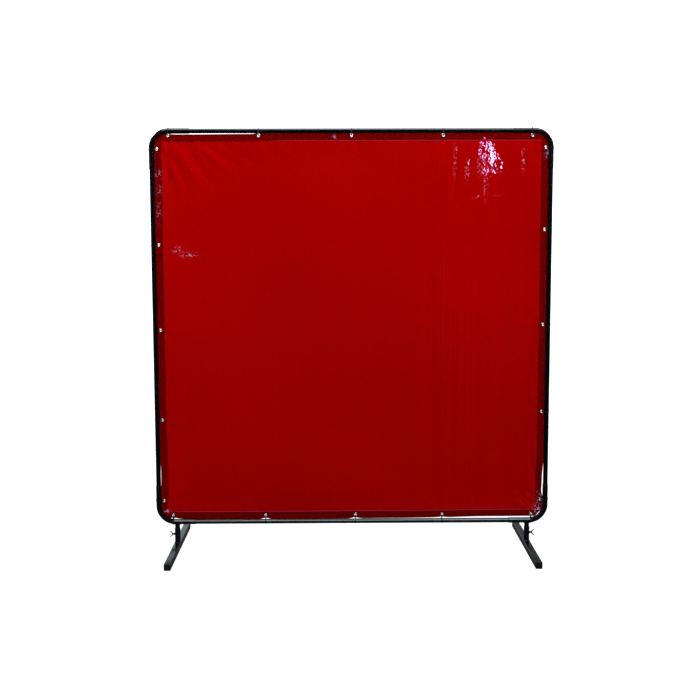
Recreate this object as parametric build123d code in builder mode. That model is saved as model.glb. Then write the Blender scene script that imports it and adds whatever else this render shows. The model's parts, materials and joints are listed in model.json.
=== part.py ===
"""Free-standing welding curtain screen.

A square frame of round tube plugs together at four bent corner elbows. A
translucent film curtain hangs inside it on eyelets and cable ties. Two foot
bars carry sockets for the frame's leg stubs, each clamped by a wing bolt.

Millimetres. +Z is up, the curtain faces -Y, and the origin is on the floor
midway between the feet, under the tubes' centre line.
"""
import os

from build123d import *

# Frame tube
frame_width = 1804.0  # outside to outside of the elbows
frame_height = 1800.0
frame_underside = 113.0  # floor to the bottom elbows
tube_diameter = 22.0
tube_wall = 1.2
elbow_diameter = 25.0
elbow_bore = 22.1
elbow_bend_radius = 75.0  # to the centre line
elbow_reach = 180.0  # outside of the frame to the elbow's mouth
tube_end_inset = 100.0  # outside of the frame to the tube's end, inside the elbow

# Spring buttons that lock the tubes in the elbows
button_inset = 150.0  # outside of the frame to the button's axis
button_diameter = 8.0
button_hole_diameter = 8.16
button_collar_diameter = 10.5
button_collar_low = 7.4  # these four are heights above the tube's axis
button_collar_high = 8.2
button_shoulder = 13.0
button_crown = 14.0
spring_width = 6.0
spring_thickness = 0.6
spring_bend_radius = 2.5
spring_play = 0.1  # between the upper leg and the button's collar
spring_lower_z = -8.9
spring_tail_x = -8.0  # both legs end here, past the button
spring_flat_x = 7.0
spring_bend_x = 38.0
spring_knee_z = -3.4

# Leg stubs and feet
foot_x = 806.5
stub_diameter = 22.0
stub_wall = 1.2
stub_low = 32.0
weld_leg = 2.2
weld_toe = 0.4
stub_weld_top = 122.0
bar_size = 30.0
bar_wall = 1.5
bar_corner = 3.0
bar_length = 695.0
cap_flange_size = 29.6
cap_flange_corner = 2.8
cap_flange_thickness = 2.5
cap_edge_round = 1.0
cap_insert_size = 26.9
cap_insert_corner = 1.4
cap_insert_depth = 14.0
cap_insert_wall = 1.8
socket_diameter = 25.4
socket_bore = 22.16
socket_top = 96.0
socket_bolt_hole = 6.4
plug_flange_diameter = 21.8
plug_body_diameter = 19.5
plug_height = 16.0
plug_hollow_diameter = 15.5
plug_chamfer = 1.0

# Wing bolt, M6 x 1. Distances out from the leg's axis
bolt_height = 68.0
bolt_tip = 11.05
bolt_head_seat = 19.05
thread_major = 6.0
thread_minor = 4.9
thread_pitch = 1.0
thread_turns = 7
nut_face = 17.7
nut_across_flats = 10.0
nut_bore = 6.1
hub_base_diameter = 10.5
hub_top_diameter = 8.0
hub_height = 8.0
hub_bore_depth = 6.0
hub_bore_diameter = 6.1
hub_edge_round = 1.0
wing_thickness = 2.6

# Outline of one wing, out from the hub's axis and up from its seat
wing_root = (2.0, 1.5)
wing_belly = (8.7, 5.9)
wing_tip = (14.0, 13.2)
wing_crown = (12.6, 16.5)
wing_shoulder = (10.1, 14.85)
wing_valley = (6.3, 9.9)
wing_neck = (2.0, 8.0)

# Curtain
curtain_width = 1758.0
curtain_height = 1741.0
curtain_middle_z = 1018.5
film_thickness = 0.5
hem_width = 34.5
curtain_front_y = -14.5
top_corner_round = 12.0
bottom_corner_fold = 44.0  # the bottom corners are folded away along this chamfer
eyelet_flange_diameter = 16.5
eyelet_barrel_diameter = 10.0
eyelet_hole_diameter = 9.0
eyelet_crown = 0.9
eyelet_rim_diameter = 11.5
eyelet_rim_thickness = 0.4
washer_diameter = 16.0
washer_thickness = 0.6
film_hole_diameter = 10.2

# Hem's outer edge to the eyelets' centres
eyelet_inset = {"top": 11.0, "bottom": 10.0, "left": 14.5, "right": 14.5}

# Hand-set eyelet places: X along the top and bottom, Z up the sides
eyelet_stations = {
    "top": (-814, -413, 0, 408, 805),
    "bottom": (-823, -399, 14, 413, 823),
    "left": (226, 602, 1012, 1395, 1820),
    "right": (226, 635, 1033, 1461, 1825),
}

# Cable ties
tie_width = 3.6
tie_thickness = 1.2
tie_slack = 0.06  # gap between the strap and a straight tube
elbow_tie_slack = 1.0  # the corner ties sit where the elbows start to bend
tie_pinch_radius = 1.75  # strap's inner radius round the hem
tie_head_size = (6.0, 4.4, 5.2)
tie_tail_length = 9.0

# Worked out from the above
post_x = (frame_width - elbow_diameter) / 2
rail_low_z = frame_underside + elbow_diameter / 2
rail_high_z = frame_underside + frame_height - elbow_diameter / 2
frame_middle_z = (rail_low_z + rail_high_z) / 2
curtain_middle_y = curtain_front_y + film_thickness
hem_thickness = 2 * film_thickness
eyelet_x = curtain_width / 2 - eyelet_inset["left"]
eyelet_low_z = curtain_middle_z - curtain_height / 2 + eyelet_inset["bottom"]
eyelet_high_z = curtain_middle_z + curtain_height / 2 - eyelet_inset["top"]
from_tube_to_eyelet = {
    "top": rail_high_z - eyelet_high_z,
    "bottom": eyelet_low_z - rail_low_z,
    "left": post_x - eyelet_x,
    "right": post_x - eyelet_x,
}

sides_x = {"left": -1, "right": 1}
sides_z = {"bottom": -1, "top": 1}

os.makedirs("parts", exist_ok=True)


def save(piece, name):
    """Label a finished piece and write it to its own file."""
    piece.part.label = name
    export_step(piece.part, f"parts/{name}.step")


def rail_z(end_z):
    """Height of the rail on the bottom (-1) or top (+1) of the frame."""
    return frame_middle_z + end_z * (rail_high_z - rail_low_z) / 2


def tube_plane(side, station):
    """Plane across a frame tube: local X points into the frame, local Y to the rear."""
    origin = {
        "top": (station, 0, rail_high_z),
        "bottom": (station, 0, rail_low_z),
        "left": (-post_x, 0, station),
        "right": (post_x, 0, station),
    }
    inward = {"top": (0, 0, -1), "bottom": (0, 0, 1), "left": (1, 0, 0), "right": (-1, 0, 0)}
    along = {"top": (1, 0, 0), "bottom": (-1, 0, 0), "left": (0, 0, 1), "right": (0, 0, -1)}
    return Plane(origin=origin[side], x_dir=inward[side], z_dir=along[side])


def eyelet_plane(side, station):
    """Plane on the hem's front face at an eyelet, facing the front."""
    place = {
        "top": (station, curtain_front_y, eyelet_high_z),
        "bottom": (station, curtain_front_y, eyelet_low_z),
        "left": (-eyelet_x, curtain_front_y, station),
        "right": (eyelet_x, curtain_front_y, station),
    }
    return Plane(origin=place[side], x_dir=(1, 0, 0), z_dir=(0, -1, 0))


def rail_button_plane(end_x, end_z):
    """Plane on a rail's axis at a spring button: Z to the rear, X to the tube's end."""
    x = end_x * (frame_width / 2 - button_inset)
    return Plane(origin=(x, 0, rail_z(end_z)), x_dir=(end_x, 0, 0), z_dir=(0, 1, 0))


def post_button_plane(end_x, end_z):
    """Plane on a post's axis at a spring button: Z to the rear, X to the tube's end."""
    z = frame_underside + frame_height / 2 + end_z * (frame_height / 2 - button_inset)
    return Plane(origin=(end_x * post_x, 0, z), x_dir=(0, 0, end_z), z_dir=(0, 1, 0))


def bolt_plane(end_x):
    """Plane on a leg's axis at the wing bolt, facing away from the frame's middle."""
    return Plane(origin=(end_x * foot_x, 0, bolt_height), x_dir=(0, 1, 0), z_dir=(end_x, 0, 0))


def button_drill(planes):
    """Round cutters from the tubes' axes out through their rear walls."""
    with BuildPart() as drill:
        with Locations(*planes):
            Cylinder(
                button_hole_diameter / 2,
                elbow_diameter,
                align=(Align.CENTER, Align.CENTER, Align.MIN),
            )
    return drill.part


def corner_sweep(end_x, end_z, diameter, bore=0.0):
    """A round bar or tube bent round one corner of the frame."""
    mouth_x = end_x * (frame_width / 2 - elbow_reach)
    mouth_z = frame_underside + frame_height / 2 + end_z * (frame_height / 2 - elbow_reach)
    with BuildPart() as bend:
        with BuildLine(Plane.XZ) as path:
            FilletPolyline(
                (end_x * post_x, mouth_z),
                (end_x * post_x, rail_z(end_z)),
                (mouth_x, rail_z(end_z)),
                radius=elbow_bend_radius,
            )
        with BuildSketch(Plane(origin=path.line @ 0, z_dir=path.line % 0)):
            Circle(diameter / 2)
            if bore:
                Circle(bore / 2, mode=Mode.SUBTRACT)
        sweep()
    return bend.part


def straight_tube(mouth, outer_diameter, wall, length):
    """A round tube along the Z of its mouth's plane."""
    with BuildPart() as tube:
        with BuildSketch(mouth):
            Circle(outer_diameter / 2)
            Circle(outer_diameter / 2 - wall, mode=Mode.SUBTRACT)
        extrude(amount=length)
    return tube.part


# ---------------------------------------------------------------- frame tubes

for name_z, end_z in sides_z.items():
    for name_x, end_x in sides_x.items():
        with BuildPart() as elbow:
            add(corner_sweep(end_x, end_z, elbow_diameter, elbow_bore))
            planes = [rail_button_plane(end_x, end_z), post_button_plane(end_x, end_z)]
            add(button_drill(planes), mode=Mode.SUBTRACT)
        save(elbow, f"elbow_{name_z}_{name_x}")

for name_z, end_z in sides_z.items():
    rail_mouth = Plane.YZ.offset(tube_end_inset - frame_width / 2)
    rail_mouth = rail_mouth.shift_origin((rail_mouth.origin.X, 0, rail_z(end_z)))
    with BuildPart() as rail:
        add(straight_tube(rail_mouth, tube_diameter, tube_wall, frame_width - 2 * tube_end_inset))
        planes = [rail_button_plane(end_x, end_z) for end_x in sides_x.values()]
        add(button_drill(planes), mode=Mode.SUBTRACT)
    save(rail, f"rail_{name_z}")

for name_x, end_x in sides_x.items():
    post_mouth = Plane((end_x * post_x, 0, frame_underside + tube_end_inset))
    with BuildPart() as post:
        add(straight_tube(post_mouth, tube_diameter, tube_wall, frame_height - 2 * tube_end_inset))
        planes = [post_button_plane(end_x, end_z) for end_z in sides_z.values()]
        add(button_drill(planes), mode=Mode.SUBTRACT)
    save(post, f"post_{name_x}")

# ------------------------------------------------------------- spring buttons

# One button, its axis along Z and the tube's axis at Z = 0
with BuildPart() as button:
    with BuildSketch(Plane.XY.offset(button_collar_low)):
        Circle(button_collar_diameter / 2)
    extrude(amount=button_collar_high - button_collar_low)
    with BuildSketch(Plane.XY.offset(button_collar_high)):
        Circle(button_diameter / 2)
    extrude(amount=button_crown - button_collar_high)
    fillet(button.edges().group_by(Axis.Z)[-1], button_crown - button_shoulder)

# One V spring, its bend towards +X, its upper leg under the button
spring_upper_z = button_collar_low - spring_play - spring_thickness / 2
with BuildPart() as spring:
    with BuildSketch(Plane.XZ):
        with BuildLine():
            FilletPolyline(
                (spring_tail_x, spring_upper_z),
                (spring_flat_x, spring_upper_z),
                (spring_bend_x, spring_knee_z),
                (spring_bend_x, spring_lower_z),
                (spring_tail_x, spring_lower_z),
                radius=spring_bend_radius,
            )
        trace(line_width=spring_thickness)
    extrude(amount=spring_width / 2, both=True)

button_planes = {}
for name_z, end_z in sides_z.items():
    for name_x, end_x in sides_x.items():
        button_planes[f"rail_{name_z}", name_x] = rail_button_plane(end_x, end_z)
        button_planes[f"post_{name_x}", name_z] = post_button_plane(end_x, end_z)

for (tube, end), plane in button_planes.items():
    with BuildPart() as placed_button:
        with Locations(plane):
            add(button.part)
    save(placed_button, f"{tube}_button_{end}")
    with BuildPart() as placed_spring:
        with Locations(plane):
            add(spring.part)
    save(placed_spring, f"{tube}_spring_{end}")

# ------------------------------------------------------------------ leg stubs

for name_x, end_x in sides_x.items():
    with BuildPart() as stub:
        stub_mouth = Plane((end_x * foot_x, 0, stub_low))
        add(straight_tube(stub_mouth, stub_diameter, stub_wall, rail_low_z - stub_low))
        add(corner_sweep(end_x, -1, elbow_diameter), mode=Mode.SUBTRACT)
    save(stub, f"leg_stub_{name_x}")

# A bead all round the joint, hugging the stub and the curved elbow
with BuildPart() as stub_welds:
    for end_x in sides_x.values():
        add(corner_sweep(end_x, -1, elbow_diameter + 2 * weld_leg))
    with BuildSketch(Plane.XY.offset(stub_low)):
        with Locations((-foot_x, 0), (foot_x, 0)):
            Circle(stub_diameter / 2 + weld_leg)
            Circle(stub_diameter / 2, mode=Mode.SUBTRACT)
    extrude(amount=stub_weld_top - stub_low, mode=Mode.INTERSECT)
    for end_x in sides_x.values():
        add(corner_sweep(end_x, -1, elbow_diameter), mode=Mode.SUBTRACT)
save(stub_welds, "stub_welds")

# A plug closes the stub's lower end and turns with the foot it stands on
for name_x, end_x in sides_x.items():
    with BuildPart() as plug:
        with BuildSketch(Plane((end_x * foot_x, 0, bar_size))):
            Circle(plug_flange_diameter / 2)
        extrude(amount=stub_low - bar_size)
        with BuildSketch(Plane((end_x * foot_x, 0, stub_low))):
            Circle(plug_body_diameter / 2)
        extrude(amount=plug_height)
        chamfer(plug.edges().group_by(Axis.Z)[-1], plug_chamfer)
        with BuildSketch(Plane((end_x * foot_x, 0, stub_low + plug_height))):
            Circle(plug_hollow_diameter / 2)
        extrude(amount=-plug_height, mode=Mode.SUBTRACT)
    save(plug, f"stub_plug_{name_x}")

# ----------------------------------------------------------------------- feet

for name_x, end_x in sides_x.items():
    bar_middle = Plane(origin=(end_x * foot_x, 0, bar_size / 2), x_dir=(1, 0, 0), z_dir=(0, 1, 0))
    socket_foot = Plane((end_x * foot_x, 0, bar_size))

    with BuildPart() as bar:
        with BuildSketch(bar_middle):
            RectangleRounded(bar_size, bar_size, bar_corner)
            RectangleRounded(
                bar_size - 2 * bar_wall,
                bar_size - 2 * bar_wall,
                bar_corner - bar_wall,
                mode=Mode.SUBTRACT,
            )
        extrude(amount=bar_length / 2, both=True)
    save(bar, f"foot_bar_{name_x}")

    for name_y, end_y in {"front": -1, "rear": 1}.items():
        bar_mouth = Plane(
            origin=(end_x * foot_x, end_y * bar_length / 2, bar_size / 2),
            x_dir=(1, 0, 0),
            z_dir=(0, end_y, 0),
        )
        with BuildPart() as cap:
            with BuildSketch(bar_mouth):
                RectangleRounded(cap_flange_size, cap_flange_size, cap_flange_corner)
            extrude(amount=cap_flange_thickness)
            fillet(cap.faces().sort_by(Axis(bar_mouth.origin, bar_mouth.z_dir))[-1].edges(),
                   cap_edge_round)
            with BuildSketch(bar_mouth):
                RectangleRounded(cap_insert_size, cap_insert_size, cap_insert_corner)
                RectangleRounded(
                    cap_insert_size - 2 * cap_insert_wall,
                    cap_insert_size - 2 * cap_insert_wall,
                    cap_insert_corner,
                    mode=Mode.SUBTRACT,
                )
            extrude(amount=-cap_insert_depth)
        save(cap, f"foot_cap_{name_y}_{name_x}")

    with BuildPart() as socket:
        with BuildSketch(socket_foot):
            Circle(socket_diameter / 2)
            Circle(socket_bore / 2, mode=Mode.SUBTRACT)
        extrude(amount=socket_top - bar_size)
        with Locations(bolt_plane(end_x)):
            Cylinder(
                socket_bolt_hole / 2,
                socket_diameter,
                align=(Align.CENTER, Align.CENTER, Align.MIN),
                mode=Mode.SUBTRACT,
            )
    save(socket, f"foot_socket_{name_x}")

    # Fillet weld round the socket's foot, draped over the bar's rounded edges
    with BuildPart() as socket_weld:
        with BuildSketch(Plane((end_x * foot_x, 0, 0), x_dir=(1, 0, 0), z_dir=(0, -1, 0))):
            with BuildLine():
                Polyline(
                    (socket_diameter / 2, bar_size - weld_leg),
                    (socket_diameter / 2 + weld_leg, bar_size - weld_leg),
                    (socket_diameter / 2 + weld_leg, bar_size + weld_toe),
                    (socket_diameter / 2, bar_size + weld_leg),
                    close=True,
                )
            make_face()
        revolve(axis=Axis((end_x * foot_x, 0, 0), (0, 0, 1)))
        with BuildSketch(bar_middle):
            RectangleRounded(bar_size, bar_size, bar_corner)
        extrude(amount=bar_size, both=True, mode=Mode.SUBTRACT)
    save(socket_weld, f"socket_weld_{name_x}")

    # Hexagon nut, its inner end hollowed to sit on the round socket
    with BuildPart() as nut:
        with BuildSketch(bolt_plane(end_x).offset(socket_bore / 2)):
            RegularPolygon(nut_across_flats / 2, 6, major_radius=False)
            Circle(nut_bore / 2, mode=Mode.SUBTRACT)
        extrude(amount=nut_face - socket_bore / 2)
        with BuildSketch(socket_foot):
            Circle(socket_diameter / 2)
        extrude(amount=socket_top - bar_size, mode=Mode.SUBTRACT)
    save(nut, f"socket_nut_{name_x}")

# ----------------------------------------------------------------- wing bolts

# The stud lies along Z from its tip, its thread drawn as rings of the same pitch
stud_length = bolt_head_seat + hub_bore_depth - bolt_tip
with BuildPart() as stud:
    with BuildSketch(Plane.XZ):
        with BuildLine():
            outline = [(0, 0), (thread_minor / 2, 0)]
            for turn in range(thread_turns):
                outline.append((thread_major / 2, (turn + 0.5) * thread_pitch))
                outline.append((thread_minor / 2, (turn + 1.0) * thread_pitch))
            outline.append((thread_major / 2, (thread_turns + 0.5) * thread_pitch))
            outline.append((thread_major / 2, stud_length))
            outline.append((0, stud_length))
            Polyline(*outline, close=True)
        make_face()
    revolve(axis=Axis.Z)

# The wing head stands on Z = 0, its wings spread along X
with BuildPart() as wing_head:
    with BuildSketch(Plane.XZ):
        with BuildLine():
            Polyline((0, 0), (hub_base_diameter / 2, 0), (hub_top_diameter / 2, hub_height))
            Line((hub_top_diameter / 2, hub_height), (0, hub_height))
            Line((0, hub_height), (0, 0))
        make_face()
    revolve(axis=Axis.Z)
    fillet(wing_head.edges().group_by(Axis.Z)[-1], hub_edge_round)
    with BuildSketch(Plane.XZ) as wing:
        with BuildLine():
            Spline(wing_root, wing_belly, wing_tip)
            ThreePointArc(wing_tip, wing_crown, wing_shoulder)
            Spline(wing_shoulder, wing_valley, wing_neck)
            Line(wing_neck, wing_root)
        make_face()
        mirror(about=Plane.YZ)
    extrude(amount=wing_thickness / 2, both=True)
    with BuildSketch(Plane.XY):
        Circle(hub_bore_diameter / 2)
    extrude(amount=hub_bore_depth, mode=Mode.SUBTRACT)

for name_x, end_x in sides_x.items():
    # Local X points up, so that the wings stand in the upright plane
    bolt_axis = Plane(origin=bolt_plane(end_x).origin, x_dir=(0, 0, 1), z_dir=(end_x, 0, 0))
    with BuildPart() as placed_stud:
        with Locations(bolt_axis.offset(bolt_tip)):
            add(stud.part)
    save(placed_stud, f"wing_bolt_stud_{name_x}")
    with BuildPart() as placed_head:
        with Locations(bolt_axis.offset(bolt_head_seat)):
            add(wing_head.part)
    save(placed_head, f"wing_bolt_head_{name_x}")

# -------------------------------------------------------------------- curtain


def film_outline():
    """The curtain's outline, its bottom corners cut where they fold away."""
    with BuildSketch() as outline:
        Rectangle(curtain_width, curtain_height)
        chamfer(outline.vertices().group_by(Axis.Y)[0], bottom_corner_fold)
        fillet(outline.vertices().group_by(Axis.Y)[-1], top_corner_round)
    return outline.sketch


front_plane = Plane(
    origin=(0, curtain_front_y, curtain_middle_z), x_dir=(1, 0, 0), z_dir=(0, -1, 0)
)
eyelet_planes = [
    eyelet_plane(side, station)
    for side, stations in eyelet_stations.items()
    for station in stations
]
with BuildPart() as curtain:
    with BuildSketch(front_plane):
        add(film_outline())
    extrude(amount=-film_thickness)
    with BuildSketch(front_plane):
        add(film_outline())
        Rectangle(curtain_width - 2 * hem_width, curtain_height - 2 * hem_width, mode=Mode.SUBTRACT)
    extrude(amount=-hem_thickness)
    with Locations(*eyelet_planes):
        Cylinder(film_hole_diameter / 2, 4 * hem_thickness, mode=Mode.SUBTRACT)
save(curtain, "curtain_sheet")

# One eyelet, its flange's underside at Z = 0 and its crown towards +Z
washer_low = -hem_thickness - washer_thickness
rim_low = washer_low - eyelet_rim_thickness
with BuildPart() as eyelet:
    with BuildSketch(Plane.XZ):
        with BuildLine():
            Polyline(
                (eyelet_hole_diameter / 2, 0),
                (eyelet_hole_diameter / 2, rim_low),
                (eyelet_rim_diameter / 2, rim_low),
                (eyelet_rim_diameter / 2, washer_low),
                (eyelet_barrel_diameter / 2, washer_low),
                (eyelet_barrel_diameter / 2, 0),
                (eyelet_flange_diameter / 2, 0),
            )
            ThreePointArc(
                (eyelet_flange_diameter / 2, 0),
                ((eyelet_flange_diameter + eyelet_hole_diameter) / 4, eyelet_crown),
                (eyelet_hole_diameter / 2, 0),
            )
        make_face()
    revolve(axis=Axis.Z)

with BuildPart() as washer:
    with BuildSketch(Plane.XY.offset(washer_low)):
        Circle(washer_diameter / 2)
        Circle(film_hole_diameter / 2, mode=Mode.SUBTRACT)
    extrude(amount=washer_thickness)

for side, stations in eyelet_stations.items():
    places = [eyelet_plane(side, station) for station in stations]
    with BuildPart() as eyelets:
        with Locations(*places):
            add(eyelet.part)
    save(eyelets, f"eyelets_{side}")
    with BuildPart() as washers:
        with Locations(*places):
            add(washer.part)
    save(washers, f"eyelet_washers_{side}")

# ---------------------------------------------------------------- cable ties


def strap_outline(tube_radius, edge_distance, eyelet_distance, grow):
    """Outline of a strap pulled tight round the tube, the hem's edge and the eyelet."""
    with BuildSketch() as outline:
        Circle(tube_radius + grow)
        with Locations((edge_distance, curtain_middle_y), (eyelet_distance, curtain_middle_y)):
            Circle(tie_pinch_radius + grow)
        make_hull()
    return outline.sketch


def cable_tie(tube_radius, side):
    """A closed strap round a tube along Z, its head behind and its tail cut short."""
    eyelet_distance = from_tube_to_eyelet[side]
    edge_distance = eyelet_distance - eyelet_inset[side]
    head_length, head_height, head_width = tie_head_size
    with BuildPart() as tie:
        with BuildSketch():
            add(strap_outline(tube_radius, edge_distance, eyelet_distance, tie_thickness))
            add(strap_outline(tube_radius, edge_distance, eyelet_distance, 0), mode=Mode.SUBTRACT)
        extrude(amount=tie_width / 2, both=True)
        with Locations((0, tube_radius + head_height / 2, 0)):
            Box(head_length, head_height, head_width)
        with Locations((-tie_tail_length / 2, tube_radius + 2 * tie_thickness, 0)):
            Box(tie_tail_length, tie_thickness, tie_width)
    return tie.part


for side, stations in eyelet_stations.items():
    with BuildPart() as ties:
        with Locations(*[tube_plane(side, station) for station in stations[1:-1]]):
            add(cable_tie(tube_diameter / 2 + tie_slack, side))
        with Locations(tube_plane(side, stations[0]), tube_plane(side, stations[-1])):
            add(cable_tie(elbow_diameter / 2 + elbow_tie_slack, side))
    save(ties, f"cable_ties_{side}")
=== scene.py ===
"""Looks of the free-standing welding curtain screen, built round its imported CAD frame.

The CAD nodes keep their shape and get procedural finishes. The flat CAD curtain is
replaced by a creased, hemmed film. Lengths are in metres, in the CAD's own frame.
"""

import json
import math

import bpy
import numpy as np
from mathutils import Matrix, Vector


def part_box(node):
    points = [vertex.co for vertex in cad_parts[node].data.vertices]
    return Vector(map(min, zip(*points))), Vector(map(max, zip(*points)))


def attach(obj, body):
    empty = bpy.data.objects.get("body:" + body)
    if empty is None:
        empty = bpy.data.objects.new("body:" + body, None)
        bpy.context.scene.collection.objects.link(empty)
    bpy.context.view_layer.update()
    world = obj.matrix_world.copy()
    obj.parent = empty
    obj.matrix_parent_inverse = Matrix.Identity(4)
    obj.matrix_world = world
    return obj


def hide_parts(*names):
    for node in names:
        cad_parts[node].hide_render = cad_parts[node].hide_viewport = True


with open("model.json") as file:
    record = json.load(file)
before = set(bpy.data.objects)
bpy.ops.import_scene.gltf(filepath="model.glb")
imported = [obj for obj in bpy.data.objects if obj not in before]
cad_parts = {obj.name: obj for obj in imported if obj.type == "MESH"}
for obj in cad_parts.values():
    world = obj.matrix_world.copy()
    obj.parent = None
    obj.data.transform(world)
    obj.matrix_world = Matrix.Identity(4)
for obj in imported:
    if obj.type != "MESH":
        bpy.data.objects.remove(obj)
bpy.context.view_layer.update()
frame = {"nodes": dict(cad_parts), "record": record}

MM = 0.001

# Camera, fitted to the screen's straight edges
CAMERA_PLACE = (-0.062, -5.281, 1.538)
CAMERA_PITCH = math.radians(6.678)
CAMERA_YAW = math.radians(-0.574)
CAMERA_ROLL = math.radians(-0.131)
CAMERA_LENS = 60.228
CAMERA_SENSOR = 36.0

# Brightness of the backdrop along a ray: the lower of two lines (level, slope) in its rise
BACKDROP_LINES = ((2.024, 4.35), (1.858, 2.56))
BACKDROP_LOWEST = 1.0
BACKDROP_HIGHEST = 2.2


# ------------------------------------------------------------------ node helpers


def add_node(tree, kind, inputs=None, **settings):
    """Adds a node, sets its fields, and sets or links its inputs."""
    node = tree.nodes.new(kind)
    for field, value in settings.items():
        setattr(node, field, value)
    for key, value in (inputs or {}).items():
        if isinstance(value, bpy.types.NodeSocket):
            tree.links.new(value, node.inputs[key])
        else:
            node.inputs[key].default_value = value
    return node


def math_node(tree, operation, first, second=0.0, clamp=False):
    """Output of a Math node over sockets or numbers."""
    return add_node(
        tree, "ShaderNodeMath", {0: first, 1: second}, operation=operation, use_clamp=clamp
    ).outputs[0]


def map_range(tree, value, low, high, to_low=0.0, to_high=1.0, smooth=False):
    """Output of a Map Range node, clamped at both ends."""
    return add_node(
        tree,
        "ShaderNodeMapRange",
        {"Value": value, "From Min": low, "From Max": high, "To Min": to_low, "To Max": to_high},
        interpolation_type="SMOOTHSTEP" if smooth else "LINEAR",
    ).outputs["Result"]


def noise(tree, vector, scale, detail=2.0, stretch=None):
    """Value of a noise texture, stretched along the axes when asked."""
    if stretch:
        vector = add_node(
            tree, "ShaderNodeMapping", {"Vector": vector, "Scale": stretch}
        ).outputs["Vector"]
    return add_node(
        tree, "ShaderNodeTexNoise", {"Vector": vector, "Scale": scale, "Detail": detail}
    ).outputs["Fac"]


def attribute(tree, name):
    """Value of one of the mesh's point attributes."""
    return add_node(tree, "ShaderNodeAttribute", attribute_name=name).outputs["Fac"]


def vector_node(tree, operation, inputs):
    """Output of a Vector Math node."""
    return add_node(tree, "ShaderNodeVectorMath", inputs, operation=operation).outputs[0]


def shader_node(tree, kind, colour, **inputs):
    """Output of a one-colour shader node with an opaque colour."""
    return add_node(tree, f"ShaderNodeBsdf{kind}", {"Color": (*colour, 1.0), **inputs}).outputs[0]


def mix_shader(tree, factor, first, second):
    """Output of a Mix Shader node."""
    return add_node(tree, "ShaderNodeMixShader", {0: factor, 1: first, 2: second}).outputs[0]


def new_tree(name):
    """A material, its empty node tree and its object coordinates."""
    material = bpy.data.materials.new(name)
    material.use_nodes = True
    tree = material.node_tree
    tree.nodes.clear()
    place = add_node(tree, "ShaderNodeTexCoord").outputs["Object"]
    return material, tree, place


def set_surface(tree, shader):
    """Links a shader to the material's output."""
    add_node(tree, "ShaderNodeOutputMaterial", {"Surface": shader})


# --------------------------------------------------------------- hard materials

NOISE_SPAN = (0.3, 0.7)  # where nearly all of a noise texture's values lie
PATCH_SCALE = 18.0  # of the slow changes in a finish
GRAIN_HEIGHT = 0.2 * MM
WORN_POINTINESS = (0.52, 0.6)
MOST_WEAR = 0.5


def hard_material(
    name,
    colour,
    roughness,
    metallic=0.0,
    grain=600.0,
    grain_depth=0.05,
    stretch=None,
    tint_change=0.15,
    roughness_change=0.08,
    edge_round=0.0,
    worn=None,
):
    """A finish with grain, uneven roughness and colour, and lighter worn edges."""
    material, tree, place = new_tree(name)
    fine = noise(tree, place, grain, 3.0, stretch)
    broad = noise(tree, place, PATCH_SCALE, 3.0)
    shade = map_range(tree, broad, *NOISE_SPAN, 1.0 - tint_change, 1.0 + tint_change)
    base = vector_node(tree, "SCALE", {0: colour, "Scale": shade})
    if worn:
        edge = add_node(tree, "ShaderNodeNewGeometry").outputs["Pointiness"]
        wear = map_range(tree, edge, *WORN_POINTINESS, 0.0, MOST_WEAR)
        base = add_node(
            tree, "ShaderNodeMix", {"Factor": wear, "A": base, "B": (*worn, 1.0)}, data_type="RGBA"
        ).outputs["Result"]
    rough = map_range(
        tree, broad, *NOISE_SPAN, roughness - roughness_change, roughness + roughness_change
    )
    bump_inputs = {"Height": fine, "Strength": grain_depth, "Distance": GRAIN_HEIGHT}
    if edge_round:
        bump_inputs["Normal"] = add_node(
            tree, "ShaderNodeBevel", {"Radius": edge_round}, samples=4
        ).outputs["Normal"]
    bump = add_node(tree, "ShaderNodeBump", bump_inputs).outputs["Normal"]
    shader = add_node(
        tree,
        "ShaderNodeBsdfPrincipled",
        {"Base Color": base, "Roughness": rough, "Metallic": metallic, "Normal": bump},
    ).outputs[0]
    set_surface(tree, shader)
    return material


TIE_BLACK = (0.008, 0.008, 0.009)
TIE_ROUGHNESS = (0.38, 0.55)
TIE_SHINE = 0.25
TIE_TEETH_SCALE = 260.0
TIE_TEETH_WANDER = 0.4
TIE_SPECK_SCALE = 1400.0
TIE_SPECK_SHARE = 0.4
TIE_RELIEF = 0.35


def tie_material():
    """Black nylon with the fine moulded teeth of a cable tie's strap."""
    material, tree, place = new_tree("nylon_tie")
    teeth = add_node(
        tree,
        "ShaderNodeTexWave",
        {"Vector": place, "Scale": TIE_TEETH_SCALE, "Distortion": TIE_TEETH_WANDER},
        bands_direction="Y",
    ).outputs["Fac"]
    speck = noise(tree, place, TIE_SPECK_SCALE)
    specks = math_node(tree, "MULTIPLY", speck, TIE_SPECK_SHARE)
    height = math_node(tree, "ADD", teeth, specks)
    bump = add_node(
        tree, "ShaderNodeBump", {"Height": height, "Strength": TIE_RELIEF, "Distance": GRAIN_HEIGHT}
    ).outputs["Normal"]
    shader = add_node(
        tree,
        "ShaderNodeBsdfPrincipled",
        {
            "Base Color": (*TIE_BLACK, 1.0),
            "Roughness": map_range(tree, speck, *NOISE_SPAN, *TIE_ROUGHNESS),
            "Specular IOR Level": TIE_SHINE,
            "Normal": bump,
        },
    ).outputs[0]
    set_surface(tree, shader)
    return material


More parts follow.
